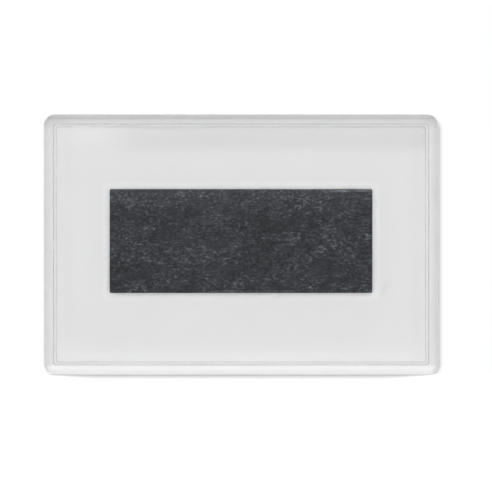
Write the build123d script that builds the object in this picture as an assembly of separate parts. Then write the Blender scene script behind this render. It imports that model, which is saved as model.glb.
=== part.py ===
from build123d import *
import os

# Magnetic photo frame, in millimetres. It stands upright as it hangs on a steel door:
# X runs along its width, Z up its height and Y through its depth. The magnet's outer
# face is the plane Y = 0, and the photo looks out towards -Y.

# Photo insert, a card of the usual size for this kind of frame
insert_width = 70.0
insert_height = 45.0
insert_thickness = 0.3
insert_corner_radius = 0.5

# Front shell: a clear window with a wall all round it, open at the back
shell_wall = 1.8
shell_corner_radius = 2.1
window_thickness = 2.0
window_edge_radius = 0.15
rim_edge_radius = 0.3
mouth_edge_radius = 0.1
pocket_corner_radius = 0.6

# Back cover: a clear shallow tray that pushes into the shell behind the insert
cover_wall = 0.5
cover_floor = 1.4
cover_edge_radius = 0.08
recess_corner_radius = 0.4

# Grip ribs on the cover's walls, which hold it in the shell by friction
rib_width = 1.2
rib_end_radius = 0.05
long_side_rib_shares = (-0.3, 0.3)
short_side_rib_shares = (0.0,)

# Magnet and the adhesive that holds it on the cover
magnet_width = 49.6
magnet_height = 19.6
magnet_thickness = 1.0
magnet_corner_radius = 0.25
magnet_edge_radius = 0.12
adhesive_thickness = 0.1

# The magnet is stuck on a little above the frame's middle
magnet_rise = 0.65

# Clearances and steps
insert_side_gap = 0.5
insert_end_gap = 0.3
insert_face_gap = 0.05
cover_gap = 0.1
rib_gap = 0.02
magnet_stand_off = 0.3

# How near an edge lies to a plane to count as in it, and how far a cut runs past a face
plane_tolerance = 0.01
cut_overrun = 1.0

# Sizes across the frame, worked out from the insert outwards
pocket_width = insert_width + 2 * insert_side_gap
pocket_height = insert_height + 2 * insert_end_gap
shell_width = pocket_width + 2 * shell_wall
shell_height = pocket_height + 2 * shell_wall
cover_width = pocket_width - 2 * cover_gap
cover_height = pocket_height - 2 * cover_gap
recess_width = cover_width - 2 * cover_wall
recess_height = cover_height - 2 * cover_wall

# Planes through the depth, worked out from the magnet's face forwards
magnet_rear_y = 0
rim_y = magnet_rear_y - magnet_stand_off
adhesive_rear_y = magnet_rear_y - magnet_thickness
cover_floor_rear_y = adhesive_rear_y - adhesive_thickness
cover_front_y = cover_floor_rear_y - cover_floor
insert_rear_y = cover_front_y - insert_face_gap
insert_front_y = insert_rear_y - insert_thickness
window_rear_y = insert_front_y - insert_face_gap
window_front_y = window_rear_y - window_thickness


def slab(width, height, corner_radius, rear_y, front_y):
    """A plate with rounded corners that lies between two planes of constant Y."""
    rear_plane = Plane.XZ.offset(-rear_y)
    outline = rear_plane * RectangleRounded(width, height, corner_radius)
    return extrude(outline, amount=rear_y - front_y)


def below_magnet(shape):
    """Moves a piece of the frame down, from round the origin to where it lies behind the magnet."""
    return Pos(0, 0, -magnet_rise) * shape


def edges_at(shape, y):
    """The edges whose middles lie in the plane of constant Y."""
    return shape.edges().filter_by_position(Axis.Y, y - plane_tolerance, y + plane_tolerance)


def front_shell():
    """The window and its wall, with rounded edges outside and at the pocket's mouth."""
    block = slab(shell_width, shell_height, shell_corner_radius, rim_y, window_front_y)
    block = fillet(edges_at(block, window_front_y), window_edge_radius)
    block = fillet(edges_at(block, rim_y), rim_edge_radius)
    pocket = slab(pocket_width, pocket_height, pocket_corner_radius, rim_y + cut_overrun, window_rear_y)
    shell = block - pocket
    mouth = edges_at(new_edges(block, pocket, combined=shell), rim_y)
    return below_magnet(fillet(mouth, mouth_edge_radius))


def grip_rib(x, z, along_x):
    """One low rib from the cover's wall almost to the shell's, as tall as the wall is deep."""
    reach = cover_gap - rib_gap + cover_wall
    width = rib_width if along_x else reach
    height = reach if along_x else rib_width
    rib = slab(width, height, rib_end_radius, rim_y - cover_edge_radius, cover_front_y)
    return Pos(x, 0, z) * rib


def grip_ribs():
    """The ribs on all four walls, opposite each other."""
    half_reach = (cover_wall + cover_gap - rib_gap) / 2
    side_x = cover_width / 2 - cover_wall + half_reach
    side_z = cover_height / 2 - cover_wall + half_reach
    ribs = []
    for side in (-1, 1):
        for share in long_side_rib_shares:
            ribs.append(grip_rib(share * cover_width, side * side_z, True))
        for share in short_side_rib_shares:
            ribs.append(grip_rib(side * side_x, share * cover_height, False))
    return ribs


def back_cover():
    """The tray: a floor with a low wall round it, open towards the back."""
    block = slab(cover_width, cover_height, pocket_corner_radius - cover_gap, rim_y, cover_front_y)
    recess = slab(recess_width, recess_height, recess_corner_radius, rim_y, cover_floor_rear_y)
    tray = block - recess
    tray = fillet(edges_at(tray, rim_y), cover_edge_radius)
    for rib in grip_ribs():
        tray += rib
    return below_magnet(tray)


def photo_insert():
    """The card that shows through the window."""
    card = slab(insert_width, insert_height, insert_corner_radius, insert_rear_y, insert_front_y)
    return below_magnet(card)


def magnet_strip():
    """Flexible magnet cut from sheet, with its outer edge just broken."""
    strip = slab(magnet_width, magnet_height, magnet_corner_radius, magnet_rear_y, adhesive_rear_y)
    return fillet(edges_at(strip, magnet_rear_y), magnet_edge_radius)


def adhesive_layer():
    """The adhesive between the magnet and the cover, cut with the magnet."""
    return slab(magnet_width, magnet_height, magnet_corner_radius, adhesive_rear_y, cover_floor_rear_y)


parts = {
    "front_shell": front_shell,
    "back_cover": back_cover,
    "photo_insert": photo_insert,
    "magnet_strip": magnet_strip,
    "adhesive_layer": adhesive_layer,
}

os.makedirs("parts", exist_ok=True)
for name, make in parts.items():
    export_step(make(), f"parts/{name}.step")
print(f"outer size {shell_width:.1f} x {-window_front_y:.1f} x {shell_height:.1f}")
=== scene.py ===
import math

import bpy
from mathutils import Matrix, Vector


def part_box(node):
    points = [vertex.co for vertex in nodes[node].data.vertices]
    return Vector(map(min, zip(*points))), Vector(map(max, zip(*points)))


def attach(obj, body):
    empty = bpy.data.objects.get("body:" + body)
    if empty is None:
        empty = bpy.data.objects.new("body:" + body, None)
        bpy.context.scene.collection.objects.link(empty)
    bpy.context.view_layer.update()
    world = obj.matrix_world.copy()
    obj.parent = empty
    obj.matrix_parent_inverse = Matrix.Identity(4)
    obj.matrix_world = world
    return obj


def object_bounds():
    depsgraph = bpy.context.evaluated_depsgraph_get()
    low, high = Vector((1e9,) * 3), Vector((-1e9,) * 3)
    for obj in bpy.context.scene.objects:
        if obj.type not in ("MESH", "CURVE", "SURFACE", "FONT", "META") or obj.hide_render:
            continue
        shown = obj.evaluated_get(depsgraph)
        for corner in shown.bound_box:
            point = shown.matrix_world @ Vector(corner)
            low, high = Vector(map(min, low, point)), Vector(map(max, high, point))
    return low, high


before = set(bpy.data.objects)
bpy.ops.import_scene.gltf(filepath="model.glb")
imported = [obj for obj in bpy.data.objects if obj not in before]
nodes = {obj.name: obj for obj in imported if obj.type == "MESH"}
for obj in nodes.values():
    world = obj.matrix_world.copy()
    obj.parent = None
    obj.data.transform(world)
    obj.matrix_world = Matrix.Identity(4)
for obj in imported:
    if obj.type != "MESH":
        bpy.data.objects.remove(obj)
cad_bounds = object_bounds()

mm = 0.001
per_mm = 1000.0

# Camera, set by the photograph's 492 pixel frame
image_side_px = 492
object_centre_px = (241.0, 244.5)
scale_px_per_mm = 5.294
camera_distance = 450 * mm
sensor_width = 36.0
nearest_seen = 10 * mm
farthest_seen = 10.0

# Light that falls on the object: a little from all round, most from straight before each face, and
# soft lights on a ring round that. Each of those is the degrees from straight up towards +X, and its level.
ambient_level = 0.07
front_level = 5.17
front_power = 14.0
ring_tilt = 58.0
ring_power = 6.0
ring_lights = ((0, 0.07), (45, 0.14), (90, 0.07), (315, 0.2))

# What glass and gloss see of the room above
sky_level = 0.6
sky_start = 0.4
sky_full = 0.85

# Bounces that the clear walls need
glossy_bounces = 16
transmission_bounces = 24

# White card behind the frame. Glow is what the walls see in it beyond the light that falls on it, and
# back light is what it gives the photo insert through the window.
card_gap = 0.05 * mm
card_margin = 14 * mm
card_white = 0.7
card_back_light = 0.9
side_glow = 0.115
bottom_glow = 0.28
top_glow = 0.025
top_fade = (0.7 * mm, 3.2 * mm)
bottom_fade = (1.15 * mm, 1.85 * mm)
# A painted shadow line on the card, under the frame's top wall
top_shadow_line_inset = 0.6 * mm
top_shadow_line_half_width = 0.3 * mm
top_shadow_line_depth = 0.16

# Shadow where the frame meets the card and the floor
shadow_reach = 0.95 * mm
shadow_depth = 0.42
shadow_power = 1.5
shadow_corner_radius = 2.1 * mm

# Floor
floor_gap = 0.1 * mm
floor_half_side = 2.0
floor_white = 0.87
floor_fill = 0.74
floor_shadow_reach = 17 * mm
floor_shadow_end = 1.2 * mm
floor_shadow_taper = 10 * mm
floor_shadow_depth = 0.52

# In the materials below, lengths are in millimetres. Noise is its scale, detail, roughness and seed, and a
# stretch scales the place along X, Y and Z first. Range is where a pattern starts and where it is full.
# Bump is its strength and its distance.

# Clear acrylic. The noises have no seed here, since each piece has its own.
acrylic_colour = (0.995, 0.996, 0.997)
acrylic_ior = 1.49
acrylic_roughness = (0.08, 0.15)
smudge_noise = (0.09, 3, 0.55)
smudge_range = (0.45, 0.72)
hairline_stretch = (0.12, 1.0, 1.6)
hairline_noise = (1.1, 2, 0.5)
hairline_range = (0.7, 0.76)
hairline_roughness = 0.1
hairline_depth = 0.1
wave_noise = (0.25, 2, 0.5)
acrylic_bump = (0.2, 0.02 * mm)

# Photo insert
insert_white = 0.9
insert_variation = 0.02
fibre_noise = (2.2, 4, 0.6, 3.0)
fibre_range = (0.3, 0.7)
insert_cloud_noise = (0.12, 2, 0.5, 5.0)
insert_roughness = (0.5, 0.65)
insert_specular = 0.1
insert_bump = (0.15, 0.02 * mm)

# Marks on the insert's back: painted shade in bands along its top and sides, next to the walls, painted
# light close round the magnet, and a small real smudge. Inner, outer, end, sides, reach and edge are where
# a mark starts and where it is full.
painted_shade_depth = 0.1
painted_shade_inner = (-0.5, 0.1)
painted_shade_outer = (5.8, 2.6)
painted_shade_end = (27.0, 17.0)
painted_shade_sides = (4.3, 1.3)
painted_shade_sides_depth = 0.052
magnet_light_reach = (1.8, 0.6)
magnet_light_gain = 0.105
mark_at = (-27.1, -8.5)
mark_size = (0.95, 2.0)
mark_lean = 0.5
mark_depth = 0.055
mark_edge = (1.0, 0.3)

# Landscape printed on the side that shows, measured from its middle. A hill line is its foot, its rise,
# its scale and its seed.
print_half_width = 32.0
print_half_height = 19.5
print_depth = 0.05
sky_heights = (-2.0, 19.0)
sky_low_colour = (0.55, 0.62, 0.64)
sky_high_colour = (0.17, 0.32, 0.47)
cloud_stretch = (0.45, 1.0, 1.3)
cloud_noise = (0.11, 4, 0.55, 11.0)
cloud_range = (0.5, 0.72)
cloud_cover = 0.8
cloud_colour = (0.68, 0.69, 0.69)
hill_lines = ((-7.0, 17.0, 0.045, 21.0), (-12.0, 17.0, 0.06, 32.0), (-16.5, 14.0, 0.03, 43.0))
hill_detail = 3
hill_roughness = 0.45
hill_edge = (0.12, -0.12)
far_hill_colour = (0.17, 0.27, 0.33)
middle_hill_colour = (0.07, 0.14, 0.08)
tuft_stretch = (1.0, 1.0, 0.6)
tuft_noise = (0.9, 4, 0.65, 7.0)
tuft_range = (0.3, 0.7)
meadow_dark_colour = (0.09, 0.16, 0.035)
meadow_light_colour = (0.25, 0.31, 0.08)
meadow_shade_heights = (-10.0, -19.0)
meadow_shade = 0.35
meadow_shade_colour = (0.06, 0.10, 0.03)

# Magnet. Its tone is the base and the gains of its patterns, over the whole, to the power of contrast.
magnet_colour = (0.0438, 0.047, 0.0538)
magnet_contrast = 2.6
magnet_base = 0.37
magnet_whole = 0.88
magnet_stretch = (0.68, 1.0, 1.05)
magnet_cloud_noise = (0.1, 2, 0.5, 2.0)
magnet_cloud_gain = 0.2
blotch_noise = (0.55, 3, 0.6, 4.0)
blotch_gain = 0.5
cluster_noise = (0.3, 4, 0.6, 8.0)
cluster_range = (0.35, 0.65)
cluster_shares = (0.35, 1.0)
grain_noise = (2.2, 3, 0.8, 1.0)
speck_range = (0.42, 0.85)
speck_power = 1.6
speck_gain = 1.9
streak_stretch = (0.3, 1.0, 1.5)
streak_noise = (1.4, 3, 0.65, 6.0)
streak_range = (0.5, 0.85)
streak_power = 1.5
streak_gain = 0.8
magnet_roughness = (0.68, 0.58)
magnet_specular = 0.25
magnet_bump = (0.25, 0.04 * mm)

# Marks on the magnet: lighter towards its top, and thin broken bands of painted highlight inside its top
# and bottom edges.
# The stretch given for each band is where it starts and ends along X.
edge_highlight_outer = (0.1, 0.25)
edge_highlight_inner = (0.6, 0.35)
edge_highlight_end = 1.0
edge_highlight_noise = (1.1, 3, 0.6)
edge_highlight_range = (0.3, 0.55)
edge_highlight_shares = (0.35, 1.0)
top_highlight_stretch = (-24.5, -17.0)
top_highlight_seed = 14.0
top_highlight_paleness = 0.6
bottom_highlight_stretch = (-11.3, 5.7)
bottom_highlight_seed = 15.0
bottom_highlight_paleness = 0.25
top_lighter_reach = 5.0
top_lighter_gain = 0.16

# Adhesive
bubble_noise = (3.0, 3, 0.6, 9.0)
film_colour_range = (0.35, 0.65)
film_dark_colour = (0.66, 0.65, 0.60)
film_light_colour = (0.74, 0.73, 0.69)
film_roughness_range = (0.3, 0.7)
film_roughness = (0.4, 0.6)
film_bump = (0.2, 0.02 * mm)


class Tree:
    """Short forms for one node tree. A value stands in for a socket wherever it is a plain number."""

    def __init__(self, tree):
        self.tree = tree
        tree.nodes.clear()

    def add(self, kind, **settings):
        node = self.tree.nodes.new(kind)
        for name, value in settings.items():
            setattr(node, name, value)
        return node

    def put(self, target, value):
        if isinstance(value, bpy.types.NodeSocket):
            self.tree.links.new(value, target)
        else:
            target.default_value = value

    def fill(self, node, values):
        """Puts values into a node's first inputs in turn, and leaves out those that are None."""
        for target, value in zip(node.inputs, values):
            if value is not None:
                self.put(target, value)
        return node.outputs[0]

    def math(self, operation, a, b=None, c=None):
        return self.fill(self.add("ShaderNodeMath", operation=operation), (a, b, c))

    def vector(self, operation, a, b=None, scale=None):
        node = self.add("ShaderNodeVectorMath", operation=operation)
        self.fill(node, (a, b))
        if scale is not None:
            self.put(node.inputs["Scale"], scale)
        return node.outputs["Value" if operation in ("DOT_PRODUCT", "LENGTH") else "Vector"]

    def parts(self, vector):
        node = self.add("ShaderNodeSeparateXYZ")
        self.put(node.inputs[0], vector)
        return node.outputs

    def join(self, x, y, z):
        return self.fill(self.add("ShaderNodeCombineXYZ"), (x, y, z))

    def grey(self, level):
        return self.join(level, level, level)

    def ramp(self, value, low, high, to_low=0.0, to_high=1.0, smooth=False):
        node = self.add("ShaderNodeMapRange", interpolation_type="SMOOTHSTEP" if smooth else "LINEAR")
        return self.fill(node, (value, low, high, to_low, to_high))

    def colour(self, share, a, b, blend="MIX"):
        node = self.add("ShaderNodeMix", data_type="RGBA", blend_type=blend)
        self.put(node.inputs["Factor"], share)
        self.put(node.inputs[6], (*a, 1) if isinstance(a, tuple) else a)
        self.put(node.inputs[7], (*b, 1) if isinstance(b, tuple) else b)
        return node.outputs[2]

    def noise(self, place, scale, detail, roughness, seed):
        node = self.add("ShaderNodeTexNoise", noise_dimensions="4D")
        given = {"Vector": place, "W": seed, "Scale": scale, "Detail": detail, "Roughness": roughness}
        for name, value in given.items():
            self.put(node.inputs[name], value)
        return node.outputs[0]

    def place(self):
        """Place on the object in millimetres."""
        return self.vector("SCALE", self.add("ShaderNodeTexCoord").outputs["Object"], scale=per_mm)

    def bump(self, height, strength, distance):
        node = self.add("ShaderNodeBump")
        node.inputs["Strength"].default_value = strength
        node.inputs["Distance"].default_value = distance
        self.put(node.inputs["Height"], height)
        return node.outputs[0]

    def mix_shaders(self, share, a, b):
        return self.fill(self.add("ShaderNodeMixShader"), (share, a, b))

    def add_shaders(self, a, b):
        return self.fill(self.add("ShaderNodeAddShader"), (a, b))

    def surface(self, shader):
        self.put(self.add("ShaderNodeOutputMaterial").inputs["Surface"], shader)


def new_material(name):
    material = bpy.data.materials.new(name)
    material.use_nodes = True
    return material, Tree(material.node_tree)


def dress(node, material):
    for slot in nodes[node].material_slots:
        slot.material = material


def clear_acrylic(name, seed):
    """Clear moulded acrylic: faint waves from the mould, hairlines, and smudges that dull its gloss."""
    material, tree = new_material(name)
    place = tree.place()
    plastic = tree.add("ShaderNodeBsdfPrincipled")
    plastic.inputs["Base Color"].default_value = (*acrylic_colour, 1)
    plastic.inputs["Transmission Weight"].default_value = 1.0
    plastic.inputs["IOR"].default_value = acrylic_ior
    smudge = tree.ramp(tree.noise(place, *smudge_noise, seed), *smudge_range, *acrylic_roughness)
    drawn_out = tree.vector("MULTIPLY", place, hairline_stretch)
    hairline = tree.ramp(tree.noise(drawn_out, *hairline_noise, seed + 10.0), *hairline_range)
    tree.put(plastic.inputs["Roughness"], tree.math("MULTIPLY_ADD", hairline, hairline_roughness, smudge))
    waves = tree.noise(place, *wave_noise, seed + 20.0)
    waves = tree.math("MULTIPLY_ADD", hairline, -hairline_depth, waves)
    tree.put(plastic.inputs["Normal"], tree.bump(waves, *acrylic_bump))
    tree.surface(plastic.outputs[0])
    return material


def ridge(tree, x, z, foot, rise, scale, seed):
    """1 below a line of hills and 0 above it."""
    line = tree.noise(tree.join(x, 0.0, 0.0), scale, hill_detail, hill_roughness, seed)
    line = tree.math("MULTIPLY_ADD", line, rise, foot)
    return tree.ramp(tree.math("SUBTRACT", z, line), *hill_edge)


def landscape(tree, place, x, z):
    """Soft hills under a pale sky, with a meadow before them."""
    picture = tree.colour(tree.ramp(z, *sky_heights), sky_low_colour, sky_high_colour)
    cloud = tree.noise(tree.vector("MULTIPLY", place, cloud_stretch), *cloud_noise)
    picture = tree.colour(tree.ramp(cloud, *cloud_range, 0.0, cloud_cover), picture, cloud_colour)
    tuft = tree.noise(tree.vector("MULTIPLY", place, tuft_stretch), *tuft_noise)
    meadow = tree.colour(tree.ramp(tuft, *tuft_range), meadow_dark_colour, meadow_light_colour)
    shade = tree.ramp(z, *meadow_shade_heights, 0.0, meadow_shade)
    meadow = tree.colour(shade, meadow, meadow_shade_colour)
    for line, hill in zip(hill_lines, (far_hill_colour, middle_hill_colour, meadow)):
        picture = tree.colour(ridge(tree, x, z, *line), picture, hill)
    return picture


def painted_shade_bands(tree, x, inset, side_inset):
    """Just under 1 in soft bands of painted shade along the card's top, where the top wall's shadow falls,
    and along its sides, and 1 elsewhere.
    """
    outer = tree.ramp(inset, *painted_shade_outer, smooth=True)
    band = tree.math("MULTIPLY", tree.ramp(inset, *painted_shade_inner), outer)
    band = tree.math("MULTIPLY", band, tree.ramp(x, *painted_shade_end, smooth=True))
    sides = tree.ramp(side_inset, *painted_shade_sides, smooth=True)
    sides = tree.math("MULTIPLY_ADD", sides, -painted_shade_sides_depth, 1.0)
    return tree.math("MULTIPLY_ADD", band, -painted_shade_depth, sides)


def faint_mark(tree, x, z):
    """Just under 1 in a small leaning smudge on the card's back, and 1 elsewhere."""
    off_x = tree.math("SUBTRACT", x, mark_at[0])
    off_z = tree.math("SUBTRACT", z, mark_at[1])
    across = tree.math("DIVIDE", tree.math("MULTIPLY_ADD", off_z, mark_lean, off_x), mark_size[0])
    along = tree.math("DIVIDE", off_z, mark_size[1])
    spot = tree.ramp(tree.vector("LENGTH", tree.join(across, along, 0.0)), *mark_edge, smooth=True)
    return tree.math("MULTIPLY_ADD", spot, -mark_depth, 1.0)


def beyond(tree, value, centre, half):
    """How far a value lies outside a stretch round a centre, and 0 inside it."""
    off = tree.math("ABSOLUTE", tree.math("SUBTRACT", value, centre))
    return tree.math("MAXIMUM", tree.math("SUBTRACT", off, half), 0.0)


def painted_light_near_magnet(tree, x, z):
    """Just over 1 close round the magnet, painted light that lifts the magnet's shade off the card, and 1
    further off.
    """
    low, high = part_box("magnet_strip")
    centre = (low + high) / 2 * per_mm
    half = (high - low) / 2 * per_mm
    off_x = beyond(tree, x, centre.x, half.x)
    off_z = beyond(tree, z, centre.z, half.z)
    near = tree.ramp(tree.vector("LENGTH", tree.join(off_x, off_z, 0.0)), *magnet_light_reach)
    return tree.math("MULTIPLY_ADD", near, magnet_light_gain, 1.0)


def insert_card():
    """White card, printed with a bordered landscape on the side that shows; its back is plain but for
    painted shade along the walls, painted light round the magnet and a small smudge.
    """
    material, tree = new_material("insert_card")
    place = tree.place()
    low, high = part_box("photo_insert")
    x, y, height = tree.parts(place)
    z = tree.math("SUBTRACT", height, (low.z + high.z) / 2 * per_mm)
    off_x = tree.math("ABSOLUTE", x)
    off_z = tree.math("ABSOLUTE", z)
    fibre = tree.noise(place, *fibre_noise)
    cloud = tree.noise(place, *insert_cloud_noise)
    tone = tree.math("MULTIPLY_ADD", cloud, insert_variation, insert_white - insert_variation)
    tone = tree.math("MULTIPLY_ADD", fibre, insert_variation, tone)
    inset = tree.math("SUBTRACT", high.z * per_mm, height)
    side_inset = tree.math("SUBTRACT", high.x * per_mm, off_x)
    # Painted shade by the walls, painted light round the magnet, and a real smudge, all on the back only
    shade_light_and_smudge = tree.math("MULTIPLY", painted_shade_bands(tree, x, inset, side_inset), faint_mark(tree, x, z))
    shade_light_and_smudge = tree.math("MULTIPLY", shade_light_and_smudge, painted_light_near_magnet(tree, x, height))
    on_front = tree.math("LESS_THAN", y, low.y * per_mm + print_depth)
    tone = tree.math("MULTIPLY", tone, tree.ramp(on_front, 0.0, 1.0, shade_light_and_smudge, 1.0))
    within_x = tree.math("LESS_THAN", off_x, print_half_width)
    within_z = tree.math("LESS_THAN", off_z, print_half_height)
    printed = tree.math("MULTIPLY", tree.math("MULTIPLY", within_x, within_z), on_front)
    ink = tree.colour(printed, (1.0, 1.0, 1.0), landscape(tree, place, x, z))
    paper = tree.add("ShaderNodeBsdfPrincipled")
    tree.put(paper.inputs["Base Color"], tree.colour(1.0, tree.grey(tone), ink, "MULTIPLY"))
    tree.put(paper.inputs["Roughness"], tree.ramp(fibre, *fibre_range, *insert_roughness))
    paper.inputs["Specular IOR Level"].default_value = insert_specular
    tree.put(paper.inputs["Normal"], tree.bump(fibre, *insert_bump))
    tree.surface(paper.outputs[0])
    return material


def painted_edge_highlight(tree, x, inset, stretch, seed):
    """1 in a thin broken band of painted highlight just inside an edge of the magnet, over one stretch of
    its width.
    """
    band = tree.math("MULTIPLY", tree.ramp(inset, *edge_highlight_outer), tree.ramp(inset, *edge_highlight_inner))
    start = tree.ramp(x, stretch[0] - edge_highlight_end, stretch[0] + edge_highlight_end)
    end = tree.ramp(x, stretch[1] + edge_highlight_end, stretch[1] - edge_highlight_end)
    broken = tree.noise(tree.join(x, 0.0, 0.0), *edge_highlight_noise, seed)
    broken = tree.ramp(broken, *edge_highlight_range, *edge_highlight_shares)
    return tree.math("MULTIPLY", tree.math("MULTIPLY", start, end), tree.math("MULTIPLY", band, broken))


def magnet_rubber():
    """Dark flexible magnet: a close grain, short streaks, clusters of pale specks, painted highlights
    inside its top and bottom edges, and lighter towards its top.
    """
    material, tree = new_material("magnet_rubber")
    place = tree.place()
    x, y, z = tree.parts(place)
    low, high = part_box("magnet_strip")
    from_top = tree.math("SUBTRACT", high.z * per_mm, z)
    from_bottom = tree.math("SUBTRACT", z, low.z * per_mm)
    wide = tree.vector("MULTIPLY", place, magnet_stretch)
    drawn_out = tree.vector("MULTIPLY", place, streak_stretch)
    cloud = tree.noise(place, *magnet_cloud_noise)
    blotch = tree.noise(wide, *blotch_noise)
    grain = tree.noise(wide, *grain_noise)
    tone = tree.math("MULTIPLY_ADD", cloud, magnet_cloud_gain, magnet_base)
    tone = tree.math("MULTIPLY_ADD", blotch, blotch_gain, tone)
    # Lighter within a few millimetres of the top edge
    tone = tree.math("ADD", tone, tree.ramp(from_top, top_lighter_reach, 0.0, 0.0, top_lighter_gain))
    specks = tree.math("POWER", tree.ramp(grain, *speck_range), speck_power)
    streaks = tree.ramp(tree.noise(drawn_out, *streak_noise), *streak_range)
    streaks = tree.math("POWER", streaks, streak_power)
    pale = tree.math("MULTIPLY", streaks, streak_gain)
    pale = tree.math("MULTIPLY_ADD", specks, speck_gain, pale)
    clusters = tree.ramp(tree.noise(wide, *cluster_noise), *cluster_range, *cluster_shares)
    pale = tree.math("MULTIPLY", pale, clusters)
    # Painted highlights: thin broken pale bands inside the bottom and top edges
    bottom = painted_edge_highlight(tree, x, from_bottom, bottom_highlight_stretch, bottom_highlight_seed)
    pale = tree.math("MULTIPLY_ADD", bottom, bottom_highlight_paleness, pale)
    top = painted_edge_highlight(tree, x, from_top, top_highlight_stretch, top_highlight_seed)
    pale = tree.math("MULTIPLY_ADD", top, top_highlight_paleness, pale)
    tone = tree.math("DIVIDE", tree.math("ADD", tone, pale), magnet_whole)
    tone = tree.grey(tree.math("POWER", tone, magnet_contrast))
    rubber = tree.add("ShaderNodeBsdfPrincipled")
    tree.put(rubber.inputs["Base Color"], tree.colour(1.0, magnet_colour, tone, "MULTIPLY"))
    tree.put(rubber.inputs["Roughness"], tree.ramp(pale, 0.0, 1.0, *magnet_roughness))
    rubber.inputs["Specular IOR Level"].default_value = magnet_specular
    tree.put(rubber.inputs["Normal"], tree.bump(grain, *magnet_bump))
    tree.surface(rubber.outputs[0])
    return material


def adhesive_film():
    """Milky adhesive with fine bubbles."""
    material, tree = new_material("adhesive_film")
    bubbles = tree.noise(tree.place(), *bubble_noise)
    milk = tree.colour(tree.ramp(bubbles, *film_colour_range), film_dark_colour, film_light_colour)
    film = tree.add("ShaderNodeBsdfPrincipled")
    tree.put(film.inputs["Base Color"], milk)
    tree.put(film.inputs["Roughness"], tree.ramp(bubbles, *film_roughness_range, *film_roughness))
    tree.put(film.inputs["Normal"], tree.bump(bubbles, *film_bump))
    tree.surface(film.outputs[0])
    return material


def make_camera():
    """The photograph's view: square on to the back, with the object a little off centre."""
    low, high = cad_bounds
    rim_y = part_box("front_shell")[1].y
    data = bpy.data.cameras.new("camera")
    data.sensor_width = sensor_width
    data.lens = scale_px_per_mm * per_mm * camera_distance * sensor_width / image_side_px
    data.clip_start = nearest_seen
    data.clip_end = farthest_seen
    camera = bpy.data.objects.new("camera", data)
    bpy.context.scene.collection.objects.link(camera)
    off_x = (object_centre_px[0] - image_side_px / 2) / scale_px_per_mm * mm
    off_z = (image_side_px / 2 - object_centre_px[1]) / scale_px_per_mm * mm
    centre = (low + high) / 2
    camera.location = (centre.x + off_x, rim_y + camera_distance, centre.z - off_z)
    camera.rotation_euler = (math.radians(90), 0, math.radians(180))
    bpy.context.scene.camera = camera


def make_world():
    """White to the eye. A frontal light and a ring of soft ones fall on the object, from each side."""
    world = bpy.data.worlds.new("studio")
    bpy.context.scene.world = world
    world.use_nodes = True
    tree = Tree(world.node_tree)
    path = tree.add("ShaderNodeLightPath").outputs
    toward = tree.add("ShaderNodeTexCoord").outputs["Generated"]
    x, y, z = tree.parts(toward)
    side = tree.math("ABSOLUTE", y)
    mirrored = tree.join(x, side, z)
    total = tree.math("MULTIPLY_ADD", tree.math("POWER", side, front_power), front_level, ambient_level)
    tilt = math.radians(ring_tilt)
    for degrees, level in ring_lights:
        turn = math.radians(degrees)
        sideways = math.sin(turn) * math.sin(tilt)
        upwards = math.cos(turn) * math.sin(tilt)
        direction = Vector((sideways, math.cos(tilt), upwards))
        facing = tree.math("MAXIMUM", tree.vector("DOT_PRODUCT", mirrored, direction), 0.0)
        total = tree.math("MULTIPLY_ADD", tree.math("POWER", facing, ring_power), level, total)
    falls = tree.add("ShaderNodeBackground")
    falls.inputs["Color"].default_value = (1, 1, 1, 1)
    tree.put(falls.inputs["Strength"], total)
    seen = tree.add("ShaderNodeBackground")
    seen.inputs["Color"].default_value = (1, 1, 1, 1)
    sky = tree.ramp(z, sky_start, sky_full, 1.0, sky_level, smooth=True)
    tree.put(seen.inputs["Strength"], tree.math("MAXIMUM", sky, path["Is Camera Ray"]))
    first = tree.math("LESS_THAN", path["Diffuse Depth"], 0.5)
    both = tree.mix_shaders(first, falls.outputs[0], seen.outputs[0])
    tree.put(tree.add("ShaderNodeOutputWorld").inputs["Surface"], both)


def flat_sheet(name, corners, material):
    mesh = bpy.data.meshes.new(name)
    mesh.from_pydata(corners, [], [tuple(range(len(corners)))])
    sheet = bpy.data.objects.new(name, mesh)
    bpy.context.scene.collection.objects.link(sheet)
    sheet.data.materials.append(material)
    return sheet


def shadow_beside(tree, across, up, half, radius, reach, depth):
    """Light beside a rounded rectangle: white, but for a shadow that fades out over a short way."""
    over_a = beyond(tree, across, 0.0, half[0] - radius)
    over_b = beyond(tree, up, 0.0, half[1] - radius)
    distance = tree.math("SUBTRACT", tree.vector("LENGTH", tree.join(over_a, over_b, 0.0)), radius)
    near = tree.math("POWER", tree.ramp(distance, reach, 0.0), shadow_power)
    return tree.math("MULTIPLY_ADD", near, -depth, 1.0)


def card_glow(tree, height, low, high):
    """More light through the bottom wall than the side walls, and little through the top one."""
    top = (high.z - top_fade[0], high.z - top_fade[1])
    sides = tree.ramp(height, *top, top_glow, side_glow, smooth=True)
    foot = (low.z + bottom_fade[1], low.z + bottom_fade[0])
    bottom = tree.ramp(height, *foot, 0.0, bottom_glow - side_glow, smooth=True)
    return tree.math("ADD", sides, bottom)


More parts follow.
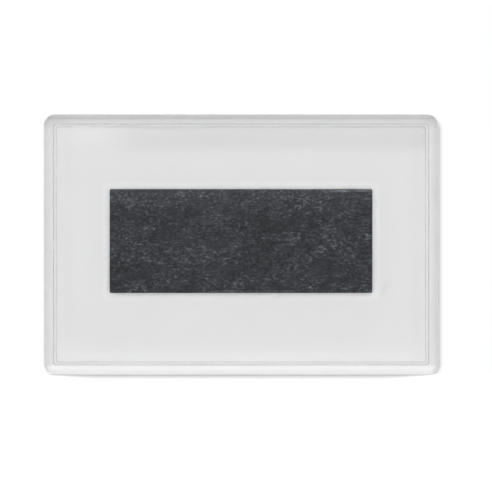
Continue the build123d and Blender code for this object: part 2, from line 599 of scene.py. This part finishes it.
def stage_card():
    """A small white card close behind the frame, seen only from the photograph's side."""
    low, high = cad_bounds
    centre = (low + high) / 2
    half = (high - low) / 2
    material, tree = new_material("backdrop")
    path = tree.add("ShaderNodeLightPath").outputs
    geometry = tree.add("ShaderNodeNewGeometry").outputs
    x, y, z = tree.parts(tree.add("ShaderNodeTexCoord").outputs["Object"])

    # Seen through the clear walls, with a painted shadow line on the card under the top wall
    off_shadow_line = tree.math("ABSOLUTE", tree.math("SUBTRACT", z, high.z - top_shadow_line_inset))
    shadow_line_white = card_white * (1 - top_shadow_line_depth)
    line = tree.ramp(off_shadow_line, top_shadow_line_half_width, 0.0, card_white, shadow_line_white, smooth=True)
    paper = tree.add("ShaderNodeBsdfDiffuse")
    tree.put(paper.inputs["Color"], tree.grey(line))
    glow = tree.add("ShaderNodeEmission")
    tree.put(glow.inputs["Strength"], card_glow(tree, z, low, high))
    through = tree.add_shaders(paper.outputs[0], glow.outputs[0])

    # Met after a diffuse surface, as by the light that the photo insert gathers through the window
    back_light = tree.add("ShaderNodeEmission")
    back_light.inputs["Strength"].default_value = card_back_light
    later = tree.math("GREATER_THAN", path["Diffuse Depth"], 0.5)
    front = tree.mix_shaders(later, through, back_light.outputs[0])

    # Seen by the camera beside the frame, whose shadow is moved right and down
    beside = tree.add("ShaderNodeEmission")
    shift = shadow_reach / 2
    hidden = (half.y * 2 + card_gap) / camera_distance
    outline = (half.x * (1 + hidden) - shift, half.z * (1 + hidden) - shift)
    lower_right = (tree.math("ADD", x, shift - centre.x), tree.math("ADD", z, shift - centre.z))
    shade = shadow_beside(tree, *lower_right, outline, shadow_corner_radius, shadow_reach, shadow_depth)
    tree.put(beside.inputs["Strength"], shade)
    front = tree.mix_shaders(path["Is Camera Ray"], front, beside.outputs[0])
    clear = tree.add("ShaderNodeBsdfTransparent")
    tree.surface(tree.mix_shaders(geometry["Backfacing"], front, clear.outputs[0]))

    y = low.y - card_gap
    left = low.x - card_margin
    right = high.x + card_margin
    bottom = low.z - card_margin
    top = high.z + card_margin
    corners = [(left, y, top), (right, y, top), (right, y, bottom), (left, y, bottom)]
    card = flat_sheet("backdrop", corners, material)
    card.visible_shadow = False
    card.visible_diffuse = False
    card.visible_glossy = False
    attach(card, "front")


def stage_floor():
    """A white floor that takes the frame's shadow and is darker before and behind the frame's foot."""
    low, high = cad_bounds
    centre = (low + high) / 2
    half = (high - low) / 2
    material, tree = new_material("floor")
    x, y, z = tree.parts(tree.add("ShaderNodeTexCoord").outputs["Object"])
    across = tree.math("SUBTRACT", x, centre.x)
    along = tree.math("SUBTRACT", y, centre.y)
    half_foot = half.x - floor_shadow_end
    ends = (half_foot, half_foot - floor_shadow_taper)
    reach = tree.ramp(tree.math("ABSOLUTE", across), *ends, shadow_reach, floor_shadow_reach, smooth=True)
    shade = shadow_beside(tree, across, along, (half_foot, half.y), half.y, reach, floor_shadow_depth)
    white = tree.add("ShaderNodeBsdfDiffuse")
    tree.put(white.inputs["Color"], tree.grey(tree.math("MULTIPLY", shade, floor_white)))
    fill = tree.add("ShaderNodeEmission")
    tree.put(fill.inputs["Strength"], tree.math("MULTIPLY", shade, floor_fill))
    tree.surface(tree.add_shaders(white.outputs[0], fill.outputs[0]))

    z = low.z - floor_gap
    s = floor_half_side
    floor = flat_sheet("floor", [(-s, -s, z), (s, -s, z), (s, s, z), (-s, s, z)], material)
    floor.visible_diffuse = False
    floor.visible_glossy = False
    floor.visible_transmission = False
    floor.visible_shadow = False


dress("front_shell", clear_acrylic("shell_plastic", 1.0))
dress("back_cover", clear_acrylic("cover_plastic", 2.0))
dress("photo_insert", insert_card())
dress("magnet_strip", magnet_rubber())
dress("adhesive_layer", adhesive_film())

make_camera()
make_world()
stage_card()
stage_floor()
bpy.context.scene.view_settings.view_transform = "Standard"
bpy.context.scene.cycles.glossy_bounces = glossy_bounces
bpy.context.scene.cycles.transmission_bounces = transmission_bounces
bpy.context.scene.cycles.max_bounces = transmission_bounces
bpy.context.scene.cycles.blur_glossy = 0.0
